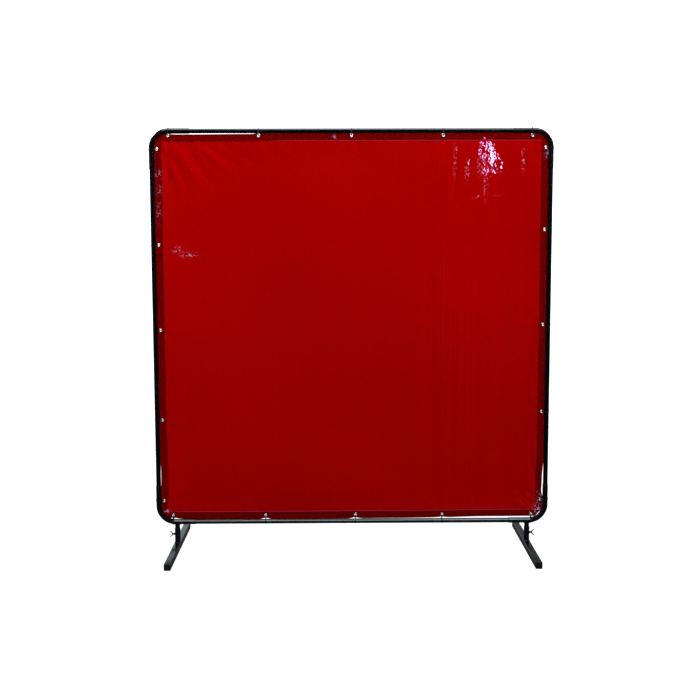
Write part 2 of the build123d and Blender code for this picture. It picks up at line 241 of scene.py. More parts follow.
MATERIALS = {
    "black_paint": hard_material(
        "black_paint", (0.0022, 0.003, 0.0045), 0.15, grain=260.0, grain_depth=0.03,
        tint_change=0.25, roughness_change=0.05, edge_round=2.5 * MM,
    ),
    "nickel": hard_material(
        "nickel", (0.80, 0.79, 0.77), 0.24, metallic=1.0, grain=1500.0, grain_depth=0.12,
        worn=(0.92, 0.91, 0.90),
    ),
    "spring_steel": hard_material(
        "spring_steel", (0.30, 0.33, 0.38), 0.32, metallic=1.0, grain=700.0, grain_depth=0.2,
        stretch=(0.08, 1.0, 1.0),
    ),
    "button_steel": hard_material(
        "button_steel", (0.58, 0.59, 0.61), 0.27, metallic=1.0, grain=900.0, grain_depth=0.15,
        edge_round=0.3 * MM,
    ),
    "cast_zinc": hard_material(
        "cast_zinc", (0.42, 0.46, 0.55), 0.36, metallic=1.0, grain=1100.0, grain_depth=0.35,
        edge_round=0.5 * MM, worn=(0.7, 0.74, 0.8),
    ),
    "plated_steel": hard_material(
        "plated_steel", (0.52, 0.55, 0.60), 0.29, metallic=1.0, grain=1300.0, grain_depth=0.15,
    ),
    "cap_plastic": hard_material(
        "cap_plastic", (0.010, 0.010, 0.011), 0.45, grain=2200.0, grain_depth=0.4,
        edge_round=0.4 * MM,
    ),
    "plug_plastic": hard_material(
        "plug_plastic", (0.022, 0.022, 0.023), 0.5, grain=2000.0, grain_depth=0.35,
    ),
    "nylon_tie": tie_material(),
}

for row in frame["record"]["subparts"]:
    if row["material_slot"] in MATERIALS:
        node = frame["nodes"][row["node"]]
        node.data.materials.clear()
        node.data.materials.append(MATERIALS[row["material_slot"]])


# ----------------------------------------------------------------- film material

FILM_INDEX = 1.5
FILM_ROUGHNESS = 0.030
FILM_TINT = (0.475, 0.006, 0.008)  # light left after one surface
LINING_TINT = (0.66, 0.016, 0.045)
CLOUDY_RED = (0.42, 0.002, 0.003)
CLOUDY_RED_THROUGH = (0.5, 0.002, 0.003)
# Colour of the painted glints on crinkled film
PAINTED_GLINT_PINK = (0.95, 0.50, 0.85)
WELD_PINK = (0.80, 0.030, 0.075)
GLOSS_WHITE = (1.0, 0.97, 0.98)
# Stretches of X over which the film's upright lines begin and end
LINES_BEGIN = (0.30, 0.42)
LINES_END = (0.52, 0.60)
LINE_DEPTHS = (0.012, 0.045)  # before and after they begin
LINE_DEPTH_LEFT = 0.25  # share after they end
LINE_STRETCH = (110.0, 1.0, 0.7)
CLOUD_SCALE = 2.2
CLOUD_TINTS = (0.985, 1.015)
# Relief too small for the mesh, as shares of its height
RELIEF_HEIGHT = 0.6 * MM
CRINKLE_SCALE = 95.0
CRINKLE_RELIEF = 3.0
RIPPLE_SCALE = 26.0
RIPPLE_RELIEF = 0.10
LINE_RELIEF_STRETCH = (240.0, 1.0, 1.6)
LINE_RELIEF = 0.012
# Facets of the glittering patch
FACET_SCALE = 290.0
FACET_STRETCH = (1.0, 1.0, 0.5)
FACET_SWIRL_SCALE = 90.0
FACET_SWIRL = (0.003, 0.003, 0.006)
FACET_LEAN = 0.050
# Milkiness of plain film, and more along a crease
MILKINESS = 0.05
CREASE_MILKINESS = 0.22
# Painted glints on crinkled film: the span of crinkle ridges they cover, and their strength
GLINT_RIDGE_SPAN = (0.56, 0.66)
PAINTED_GLINT_STRENGTH = 0.9


def film_relief(tree, place, crinkle_and_glint, small):
    """Normals of the ripples, roller lines and crinkles."""
    ripple = noise(tree, place, RIPPLE_SCALE, 2.0)
    line_height = noise(tree, place, 1.0, 3.0, LINE_RELIEF_STRETCH)
    crinkles = math_node(tree, "MULTIPLY", crinkle_and_glint, CRINKLE_RELIEF)
    height = math_node(tree, "MULTIPLY", small, crinkles)
    height = math_node(tree, "ADD", height, math_node(tree, "MULTIPLY", ripple, RIPPLE_RELIEF))
    height = math_node(tree, "ADD", height, math_node(tree, "MULTIPLY", line_height, LINE_RELIEF))
    return add_node(
        tree, "ShaderNodeBump", {"Height": height, "Strength": 1.0, "Distance": RELIEF_HEIGHT}
    ).outputs["Normal"]


def faceted(tree, place, normal, glitter):
    """Normals broken into flat facets that each lean their own way where the film glitters."""
    swirl = add_node(
        tree, "ShaderNodeTexNoise", {"Vector": place, "Scale": FACET_SWIRL_SCALE}
    ).outputs["Color"]
    warped = vector_node(tree, "MULTIPLY_ADD", {0: swirl, 1: FACET_SWIRL, 2: place})
    upright = add_node(
        tree, "ShaderNodeMapping", {"Vector": warped, "Scale": FACET_STRETCH}
    ).outputs["Vector"]
    facet = add_node(
        tree, "ShaderNodeTexVoronoi", {"Vector": upright, "Scale": FACET_SCALE}, feature="F1"
    ).outputs["Color"]
    lean = vector_node(tree, "SUBTRACT", {0: facet, 1: (0.5, 0.5, 0.5)})
    amount = math_node(tree, "MULTIPLY", glitter, FACET_LEAN)
    lean = vector_node(tree, "SCALE", {0: lean, "Scale": amount})
    leaning = vector_node(tree, "ADD", {0: normal, 1: lean})
    return vector_node(tree, "NORMALIZE", {0: leaning})


def film_tint(tree, place):
    """Colour left in light that crosses one surface of the film."""
    # Faint upright lines left by the film's rollers, and slow changes in its tint
    lines = noise(tree, place, 1.0, 4.0, LINE_STRETCH)
    side = add_node(tree, "ShaderNodeSeparateXYZ", {0: place}).outputs["X"]
    lined = math_node(
        tree,
        "MULTIPLY",
        map_range(tree, side, *LINES_BEGIN, *LINE_DEPTHS, smooth=True),
        map_range(tree, side, *LINES_END, 1.0, LINE_DEPTH_LEFT, smooth=True),
    )
    lines = math_node(tree, "MULTIPLY", map_range(tree, lines, *NOISE_SPAN, -1.0, 1.0), lined)
    clouds = noise(tree, place, CLOUD_SCALE, 3.0)
    tint = math_node(tree, "ADD", lines, map_range(tree, clouds, *NOISE_SPAN, *CLOUD_TINTS))
    # Painted shade and highlight on the film's slopes
    tint = math_node(tree, "ADD", tint, attribute(tree, "tilt"))
    colour = add_node(
        tree,
        "ShaderNodeMix",
        {"Factor": attribute(tree, "lining"), "A": (*FILM_TINT, 1), "B": (*LINING_TINT, 1)},
        data_type="RGBA",
    ).outputs["Result"]
    return vector_node(tree, "SCALE", {0: colour, "Scale": tint})


def film_material():
    """Tinted, see-through PVC film: light soaks away at each surface it crosses."""
    material, tree, place = new_tree("red_film")
    crinkle_and_glint = attribute(tree, "crinkle_and_glint")
    clear = add_node(
        tree, "ShaderNodeBsdfTransparent", {"Color": film_tint(tree, place)}
    ).outputs[0]
    small = add_node(
        tree, "ShaderNodeTexVoronoi", {"Vector": place, "Scale": CRINKLE_SCALE}, feature="F1"
    ).outputs["Distance"]
    relief = film_relief(tree, place, crinkle_and_glint, small)
    normal = faceted(tree, place, relief, attribute(tree, "glitter"))

    cloudy = mix_shader(
        tree,
        0.5,
        shader_node(tree, "Diffuse", CLOUDY_RED, Normal=normal),
        shader_node(tree, "Translucent", CLOUDY_RED_THROUGH),
    )
    creased = math_node(tree, "MULTIPLY", attribute(tree, "crease"), CREASE_MILKINESS)
    milky = math_node(tree, "ADD", MILKINESS, creased, clamp=True)
    body = mix_shader(tree, milky, clear, cloudy)

    # Painted glints: white-pink paint along the sharpest crinkle ridges of the crushed film
    glint_ridges = map_range(tree, small, *GLINT_RIDGE_SPAN)
    painted_glint_share = math_node(tree, "MULTIPLY", crinkle_and_glint, PAINTED_GLINT_STRENGTH)
    painted_glint = shader_node(tree, "Diffuse", PAINTED_GLINT_PINK, Normal=normal)
    body = mix_shader(tree, math_node(tree, "MULTIPLY", glint_ridges, painted_glint_share), body, painted_glint)

    # The welded hem line is stretched and stands out pink
    pink = shader_node(tree, "Diffuse", WELD_PINK, Normal=normal)
    body = mix_shader(tree, attribute(tree, "weld"), body, pink)

    gloss = add_node(
        tree,
        "ShaderNodeBsdfGlossy",
        {"Color": (*GLOSS_WHITE, 1.0), "Roughness": FILM_ROUGHNESS, "Normal": normal},
        distribution="BECKMANN",
    ).outputs[0]
    # The same mirror strength from inside the film, where the node would turn the index over
    inside = add_node(tree, "ShaderNodeNewGeometry").outputs["Backfacing"]
    index = map_range(tree, inside, 0.0, 1.0, FILM_INDEX, 1 / FILM_INDEX)
    shine = add_node(tree, "ShaderNodeFresnel", {"IOR": index, "Normal": normal}).outputs[0]
    set_surface(tree, mix_shader(tree, shine, body, gloss))
    return material


# ----------------------------------------------------------------- curtain film

FILM_CELL = 8 * MM
HEM_LINES = np.array([0.0, 6.0, 12.0, 18.0, 24.0, 29.5, 31.5, 33.0, 34.5]) * MM
WELD_LINES = (31.5 * MM, 33.0 * MM)
SAME_LINE = 0.1 * MM
WELD_HEIGHT = 0.22 * MM
# How much of the weld shows; along the top it grows from left to right
BOTTOM_WELD = 0.62
SIDE_WELD = 0.08
TOP_WELD = 0.08
TOP_WELD_GAIN = 0.45
TOP_WELD_START = -0.45
TOP_WELD_GROWTH = 0.25
TILT_SHADE = 3.0  # painted shade and highlight: how much darker or lighter a sloping film is painted
MOST_TILT_SHADE = 0.09
EYELET_REACH = 25 * MM  # more than an eyelet's width, less than the way to the next
HOLE_RADIUS = 5.6 * MM
TOP_CORNER_ROUND = 28 * MM
LEFT_CORNER_FOLD = 24 * MM
RIGHT_CORNER_FOLD = 44 * MM
CORNER_FOLD_RADIUS = 5 * MM
CORNER_FOLD_ANGLE = math.radians(100)
# Each skin's distance in front of the sheet's middle
SKINS = {
    "front": 0.45 * MM,
    "front_back": 0.06 * MM,
    "hem": 0.02 * MM,
    "hem_back": -0.38 * MM,
}
# Frame tubes' centre lines, and room kept in front of them
FRAME_HALF_WIDTH = 889.5 * MM
FRAME_LOW = 125.5 * MM
FRAME_HIGH = 1900.5 * MM
FRAME_BEND = 75 * MM
TUBE_ROOM = 13.2 * MM
TUBE_GAP = 0.45 * MM
SHARP_RIM = math.radians(60)

film_low, film_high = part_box("curtain_sheet")
film_middle_y = (film_low.y + film_high.y) / 2
film_middle_z = (film_low.z + film_high.z) / 2
rng = np.random.default_rng(41)


def smooth_step(value):
    """0 below 0, 1 above 1, and smooth between."""
    value = np.clip(value, 0.0, 1.0)
    return value * value * (3 - 2 * value)


def profile(along, knots):
    """Smooth curve through (place, value) knots."""
    places, values = np.array(knots, float).T
    index = np.clip(np.searchsorted(places, along) - 1, 0, len(places) - 2)
    share = (along - places[index]) / (places[index + 1] - places[index])
    return values[index] + (values[index + 1] - values[index]) * smooth_step(share)


def grid_lines(low, high):
    """Places of the grid's lines: close together over the hems, even between them."""
    near, far = low + HEM_LINES, high - HEM_LINES[::-1]
    count = round((far[0] - near[-1]) / FILM_CELL)
    return np.concatenate([near, np.linspace(near[-1], far[0], count + 1)[1:-1], far])


def eyelet_centres():
    """Centres of the CAD eyelets, found from their nodes."""
    centres = []
    for name, node in frame["nodes"].items():
        if not name.startswith("eyelets_"):
            continue
        points = np.array([v.co for v in node.data.vertices], float)[:, [0, 2]]
        while len(points):
            close = np.linalg.norm(points - points[0], axis=1) < EYELET_REACH
            cluster = points[close]
            centres.append((cluster.min(0) + cluster.max(0)) / 2)
            points = points[~close]
    return np.array(centres)


def bump_at(x, z, place, radius):
    """A soft spot of height 1."""
    return np.exp(-((x - place[0]) ** 2 + (z - place[1]) ** 2) / radius**2)


def spot_at(x, z, place, reach):
    """A soft oval spot of height 1 with its own reach along X and Z."""
    return np.exp(-(((x - place[0]) / reach[0]) ** 2) - ((z - place[1]) / reach[1]) ** 2)


# Shares of a fold's length over which it fades in and out
FADE_IN = 0.25
FADE_OUT = 0.4


def fold_line(x, z, start, end, width):
    """A sharp-topped fold from start to end that fades at both ends."""
    start, end = np.array(start), np.array(end)
    length = np.linalg.norm(end - start)
    way = (end - start) / length
    along = (x - start[0]) * way[0] + (z - start[1]) * way[1]
    across = (x - start[0]) * way[1] - (z - start[1]) * way[0]
    fade_in = smooth_step(along / (FADE_IN * length))
    fade_out = smooth_step((length - along) / (FADE_OUT * length))
    return fade_in * fade_out * np.exp(-np.abs(across) / width)


WAVE_MIDDLE = 0.6  # of a folded sine wave


def crumple(x, z, longest, shortest, count):
    """Sharp random facets: folded sine waves in random directions."""
    total = np.zeros_like(x)
    for _ in range(count):
        angle = rng.uniform(0, math.pi)
        length = rng.uniform(shortest, longest)
        phase = rng.uniform(0, 2 * math.pi)
        along = x * math.cos(angle) + z * math.sin(angle)
        wave = np.abs(np.sin(math.pi * along / length + phase))
        total += (wave - WAVE_MIDDLE) * length / longest
    return total / math.sqrt(count)


# Sag and pull of the film's edges in mm at places along them; none at the eyelets
TOP_SAG = (
    (-0.9, 0.4), (-0.84, -0.5), (-0.80, -4), (-0.72, -3.6), (-0.45, -2.2), (-0.40, 0.2),
    (-0.2, 0.2), (0.0, 0.4), (0.2, 0.3), (0.408, 0.4), (0.6, 0.4), (0.9, 0.4),
)
BOTTOM_SAG = (
    (-0.9, 0), (-0.823, -3), (-0.75, -8), (-0.6, -9.5), (-0.399, -8.5), (-0.24, -9.5),
    (0.014, -7.2), (0.2, -6.5), (0.413, -4.4), (0.59, -0.6), (0.823, 0), (0.9, 0),
)
LEFT_PULL = (
    (0.1, 0), (0.226, 0.5), (0.28, 3.4), (0.35, 4.2), (0.42, 2.4), (0.602, 0),
    (0.8, 0.8), (1.012, 0), (1.2, 0.7), (1.395, 0), (1.6, 0.6), (1.9, 0),
)
RIGHT_PULL = (
    (0.1, 1), (0.19, 2), (0.226, 4), (0.27, 9.5), (0.33, 7.5), (0.42, 2.5), (0.52, 0),
    (0.85, 0.8), (1.033, 0), (1.25, 0.9), (1.461, 0), (1.65, 0.7), (1.9, 0),
)
SAG_REACH = 0.07
BOTTOM_REACH = 0.035
EYELET_HOLD = 0.9  # share of the sag that an eyelet stops
HOLD_REACH = 18 * MM

# Slow waves that run any way: length in m and height in mm
SLOW_WAVES = ((1.5, 0.8), (1.1, 0.5), (0.8, 0.3), (0.55, 0.15))
# Upright waves of the right half, in the same measures
RIGHT_WAVES = ((0.16, 0.05), (0.11, 0.035))
RIGHT_WAVES_START = 0.1
RIGHT_WAVES_GROWTH = 0.3
RIGHT_WAVES_LEAN = 0.01
# Short folds that ring each eyelet
PULL_HEIGHT = 0.22
PULL_RISE = 14 * MM
PULL_REACH = 0.055
PULL_COUNT = 6
PULL_TURN = 3  # makes each eyelet's folds point another way
# Creases: start, end, height and width in mm
CREASES = (
    ((-0.855, 1.875), (-0.795, 1.58), 0.34, 13.0),
    ((-0.845, 1.875), (-0.745, 1.60), -0.30, 15.0),
    ((-0.835, 1.875), (-0.70, 1.58), 0.36, 15.0),
    ((-0.80, 1.875), (-0.655, 1.62), -0.32, 16.0),
    ((-0.76, 1.875), (-0.58, 1.60), 0.34, 17.0),
    ((-0.72, 1.87), (-0.50, 1.68), -0.30, 15.0),
    ((-0.70, 1.87), (-0.44, 1.71), 0.34, 16.0),
    ((-0.60, 1.86), (-0.36, 1.72), 0.28, 16.0),
    ((-0.85, 1.84), (-0.82, 1.56), -0.30, 11.0),
    ((0.459, 1.865), (0.459, 1.56), 0.50, 3.4),
    ((0.391, 1.875), (0.391, 1.79), 0.40, 3.4),
    ((0.513, 1.80), (0.515, 1.63), 0.42, 3.4),
    ((0.766, 1.82), (0.766, 1.68), 0.46, 3.4),
    ((0.60, 1.73), (0.592, 1.58), 0.32, 5.0),
    ((-0.86, 0.165), (-0.80, 0.225), 1.4, 6.0),
    ((-0.85, 0.20), (-0.74, 0.26), 0.5, 8.0),
    ((0.86, 0.165), (0.80, 0.225), 1.6, 6.0),
    ((0.87, 0.20), (0.855, 0.36), 1.0, 6.0),
    ((0.85, 0.18), (0.72, 0.21), -0.7, 7.0),
    ((0.862, 0.28), (0.81, 0.44), 0.45, 9.0),
    ((0.862, 1.83), (0.835, 1.70), 0.3, 8.0),
)
RIPPLE_LENGTH = 22 * MM  # along a crease's top
RIPPLE_DEPTH = 0.3
CREASE_MILK = 0.6
# Crushed spots: place, reach in mm and how badly the film is crinkled there, which also sets the
# painted glints
CRUSHED = (
    ((-0.778, 1.375), (16.0, 9.0), 0.9),
    ((-0.728, 1.352), (26.0, 8.0), 0.8),
    ((-0.860, 1.712), (11.0, 13.0), 0.6),
    ((-0.858, 1.640), (9.0, 16.0), 0.4),
    ((-0.861, 1.545), (8.0, 36.0), 0.3),
    ((-0.850, 0.178), (14.0, 6.0), 0.8),
    ((0.850, 0.183), (13.0, 18.0), 1.0),
    ((0.864, 0.235), (8.0, 22.0), 0.6),
    ((-0.078, 1.872), (9.0, 5.0), 0.7),
    ((0.868, 1.80), (7.0, 16.0), 0.4),
    ((0.656, 1.618), (18.0, 3.0), 0.4),
    ((0.560, 1.608), (18.0, 3.0), 0.3),
)
CRUSHED_HEIGHT = 0.5
CRUSHED_FACETS = (0.030, 0.018, 4)  # longest, shortest and number of waves
# Thin upright streaks of crinkle: bump relief and dashes of painted white glints
STREAKS = (
    ((0.459, 1.770), (3.5, 52.0), 0.5),
    ((0.513, 1.722), (5.0, 34.0), 0.55),
    ((0.766, 1.768), (3.5, 30.0), 1.0),
    ((0.598, 1.660), (5.0, 48.0), 0.5),
    ((0.572, 1.745), (8.0, 30.0), 0.6),
)
# Crinkled patches that catch the light: middle, reach and strength
HOT_PATCHES = (
    ((0.592, 1.785), (0.042, 0.065), 0.62),
    ((0.655, 1.745), (0.034, 0.045), 0.62),
    ((0.603, 1.685), (0.016, 0.080), 0.95),
)
HOT_HEIGHT = 0.03
HOT_FACETS = (0.050, 0.022, 7)
# An upright bar of smooth film inside them: middle, reach and share of the glitter it takes
SMOOTH_BAR = ((0.622, 1.795), (0.009, 0.055), 0.95)
# Crumpled corners: middle, reach, height in mm and facets
CRUMPLED = (
    ((0.845, 0.195), 0.075, 2.6, (0.055, 0.026, 6)),
    ((-0.845, 0.195), 0.05, 1.2, (0.050, 0.028, 5)),
    ((-0.80, 1.80), 0.16, 0.30, (0.09, 0.045, 6)),
)
# The film is flat at an eyelet, and hangs free away from its edges
FLAT_RADIUS = 8.5 * MM
FLAT_FADE = 16 * MM
WAVE_FADE = 0.14
FOLD_FADE = 0.04


def film_waves(x, z):
    """Slow waves of the hung film, in mm."""
    waves = np.zeros_like(x)
    for length, size in SLOW_WAVES:
        angle = rng.uniform(0, 2 * math.pi)
        phase = rng.uniform(0, 2 * math.pi)
        wave = 2 * math.pi * (x * math.cos(angle) + z * math.sin(angle)) / length
        waves += size * np.sin(wave + phase)
    growth = smooth_step((x - RIGHT_WAVES_START) / RIGHT_WAVES_GROWTH)
    for length, size in RIGHT_WAVES:
        waves += size * np.sin(2 * math.pi * (x + RIGHT_WAVES_LEAN * z) / length) * growth
    return waves


def eyelet_pulls(x, z, centres):
    """Short folds that spread from each eyelet, in mm."""
    pulls = np.zeros_like(x)
    for centre in centres:
        dx, dz = x - centre[0], z - centre[1]
        radius, angle = np.hypot(dx, dz), np.arctan2(dz, dx)
        rise = 1 - np.exp(-((radius / PULL_RISE) ** 2))
        turn = np.cos(PULL_COUNT * angle + PULL_TURN * centre[0])
        pulls += PULL_HEIGHT * rise * np.exp(-radius / PULL_REACH) * turn
    return pulls


def film_folds(x, z):
    """Folds in mm, and how creased, crinkled and glittering the film is; the crinkle also masks
    painted glints.
    """
    folds = np.zeros_like(x)
    crease = np.zeros_like(x)
    for start, end, size, width in CREASES:
        fold = fold_line(x, z, start, end, width * MM)
        phase = rng.uniform(0, 2 * math.pi)
        ripple = 1 + RIPPLE_DEPTH * np.sin(2 * math.pi * z / RIPPLE_LENGTH + phase)
        folds += size * fold * ripple
        crease += CREASE_MILK * size * fold**3
    crinkle_and_glint = np.zeros_like(x)
    for place, reach, amount in CRUSHED:
        spot = spot_at(x, z, place, np.array(reach) * MM)
        crinkle_and_glint += amount * spot
        folds += CRUSHED_HEIGHT * amount * spot * crumple(x, z, *CRUSHED_FACETS)
    for place, reach, amount in STREAKS:
        crinkle_and_glint += amount * spot_at(x, z, place, np.array(reach) * MM)
    patch = np.zeros_like(x)
    for place, reach, amount in HOT_PATCHES:
        patch = np.maximum(patch, amount * spot_at(x, z, place, reach))
    folds += HOT_HEIGHT * patch * crumple(x, z, *HOT_FACETS)
    for place, reach, size, facets in CRUMPLED:
        folds += size * bump_at(x, z, place, reach) * crumple(x, z, *facets)
    place, reach, taken = SMOOTH_BAR
    glitter = patch * (1 - taken * spot_at(x, z, place, reach))
    return folds, np.clip(crease, 0, 1), np.clip(crinkle_and_glint, 0, 1), np.clip(glitter, 0, 1)


def sheet_height(x, z, from_edge, centres):
    """Forward bulge of the hung film in metres, and its crease, crinkle and glitter."""
    waves = film_waves(x, z)
    pulls = eyelet_pulls(x, z, centres)
    folds, crease, crinkle_and_glint, glitter = film_folds(x, z)
    near_eyelet = np.ones_like(x)
    for centre in centres:
        radius = np.hypot(x - centre[0], z - centre[1])
        near_eyelet *= smooth_step((radius - FLAT_RADIUS) / FLAT_FADE)
    free = smooth_step(from_edge / WAVE_FADE) * waves + folds * smooth_step(from_edge / FOLD_FADE)
    return near_eyelet * (free + pulls) * MM, crease, crinkle_and_glint, glitter


def frame_distance(x, z):
    """Distance in the frame's plane from the tubes' centre line, a rounded rectangle."""
    middle = (FRAME_LOW + FRAME_HIGH) / 2
    half_height = (FRAME_HIGH - FRAME_LOW) / 2
    dx = np.abs(x) - (FRAME_HALF_WIDTH - FRAME_BEND)
    dz = np.abs(z - middle) - (half_height - FRAME_BEND)
    outside = np.hypot(np.maximum(dx, 0), np.maximum(dz, 0))
    inside = np.minimum(np.maximum(dx, dz), 0)
    return np.abs(outside + inside - FRAME_BEND)


def fold_corner(points):
    """Bends the bottom corners back out of sight along a 45 degree line."""
    x, y, z = points
    folded = np.where(x < 0, LEFT_CORNER_FOLD, RIGHT_CORNER_FOLD)
    reach = (np.abs(x) - film_high.x + folded) - (z - film_low.z)
    past = np.maximum(reach / math.sqrt(2), 0)
    turn = np.minimum(past / CORNER_FOLD_RADIUS, CORNER_FOLD_ANGLE)
    rest = np.maximum(past - CORNER_FOLD_RADIUS * CORNER_FOLD_ANGLE, 0)
    ahead = CORNER_FOLD_RADIUS * np.sin(turn) + rest * math.cos(CORNER_FOLD_ANGLE)
    back = CORNER_FOLD_RADIUS * (1 - np.cos(turn)) + rest * math.sin(CORNER_FOLD_ANGLE)
    shift = (ahead - past) / math.sqrt(2)
    return np.array([x + np.sign(x) * shift, y + back, z - shift])


def weld_share(x, z, across, up):
    """How much of the hem's weld shows: most along the bottom, least up the sides."""
    growth = smooth_step((x - TOP_WELD_START) / TOP_WELD_GROWTH)
    ends = np.where(z < film_middle_z, BOTTOM_WELD, TOP_WELD + TOP_WELD_GAIN * growth)
    shown = np.where(up > across, SIDE_WELD, ends)
    from_edge = np.minimum(across, up)
    weld = np.zeros_like(x)
    for place in WELD_LINES:
        weld = np.where(np.abs(from_edge - place) < SAME_LINE, shown, weld)
    return weld


def round_top_corners(x, z):
    """The grid with its top corners cut round."""
    near_x = (np.abs(x) - (film_high.x - TOP_CORNER_ROUND)) / TOP_CORNER_ROUND
    near_z = (z - (film_high.z - TOP_CORNER_ROUND)) / TOP_CORNER_ROUND
    corner = (near_x > 0) & (near_z > 0)
    out_x = near_x * np.sqrt(np.maximum(1 - near_z**2 / 2, 0))
    out_z = near_z * np.sqrt(np.maximum(1 - near_x**2 / 2, 0))
    round_x = film_high.x - TOP_CORNER_ROUND * (1 - out_x)
    round_z = film_high.z - TOP_CORNER_ROUND * (1 - out_z)
    return np.where(corner, np.sign(x) * round_x, x), np.where(corner, round_z, z)


def edge_sag(x, z, centres):
    """How far the edges sag and pull in between the eyelets, along X and Z."""
    held = np.ones_like(x)
    for centre in centres:
        held *= 1 - EYELET_HOLD * bump_at(x, z, centre, HOLD_REACH)
    from_top, from_bottom = film_high.z - z, z - film_low.z
    from_left, from_right = x - film_low.x, film_high.x - x
    move_z = profile(x, TOP_SAG) * np.exp(-((from_top / SAG_REACH) ** 2))
    move_z += profile(x, BOTTOM_SAG) * np.exp(-((from_bottom / BOTTOM_REACH) ** 2))
    move_x = profile(z, LEFT_PULL) * np.exp(-((from_left / SAG_REACH) ** 2))
    move_x -= profile(z, RIGHT_PULL) * np.exp(-((from_right / SAG_REACH) ** 2))
    return held * move_x * MM, held * move_z * MM


def open_holes(x, z, height, rows, columns, centres):
    """Moves the points round each eyelet onto a round hole; returns the cells left whole."""
    cells = np.ones((len(rows) - 1, len(columns) - 1), bool)
    ring = [(i, j) for i in (-1, 0, 1) for j in (-1, 0, 1) if i or j]
    for centre in centres:
        row = int(np.abs(rows - centre[1]).argmin())
        column = int(np.abs(columns - centre[0]).argmin())
        cells[row - 1 : row + 1, column - 1 : column + 1] = False
        for step_z, step_x in ring:
            angle = math.atan2(step_z, step_x)
            spot = row + step_z, column + step_x
            x[spot] = centre[0] + HOLE_RADIUS * math.cos(angle)
            z[spot] = centre[1] + HOLE_RADIUS * math.sin(angle)
            height[spot] = 0.0
    return cells


def front_normals(points):
    """Unit normals of a grid of points, towards the front."""
    up_rows = np.gradient(points, axis=1)
    along_columns = np.gradient(points, axis=2)
    normals = np.cross(along_columns, up_rows, axis=0)
    return normals / np.linalg.norm(normals, axis=0)


# A cell's sides: the step to the cell beyond, and the side's own start and end
CELL_SIDES = (
    ((-1, 0), (0, 0), (0, 1)),
    ((0, 1), (0, 1), (1, 1)),
    ((1, 0), (1, 1), (1, 0)),
    ((0, -1), (1, 0), (0, 0)),
)


def skin_faces(index, mask, start, turned):
    """Faces over the cells of a mask, of a skin whose points begin at start."""
    i, j = np.nonzero(mask)
    corners = np.stack([index[i, j], index[i, j + 1], index[i + 1, j + 1], index[i + 1, j]], axis=1)
    return (corners[:, ::-1] if turned else corners) + start


def border(index, mask):
    """Directed edges round the mask, in its faces' own order, and whether each is outermost."""
    rows, columns = mask.shape
    padded = np.pad(mask, 1)
    edges, outermost = [], []
    for (step_i, step_j), tail, head in CELL_SIDES:
        beyond = padded[1 + step_i : 1 + step_i + rows, 1 + step_j : 1 + step_j + columns]
        i, j = np.nonzero(mask & ~beyond)
        ends = index[i + tail[0], j + tail[1]], index[i + head[0], j + head[1]]
        edges.append(np.stack(ends, axis=1))
        next_i, next_j = i + step_i, j + step_j
        outermost.append((next_i < 0) | (next_j < 0) | (next_i >= rows) | (next_j >= columns))
    return np.concatenate(edges), np.concatenate(outermost)


def strip(edges, front, back):
    """Faces that join two skins along matching edges."""
    tails, heads = edges.T
    return np.stack([heads + front, tails + front, tails + back, heads + back], axis=1)


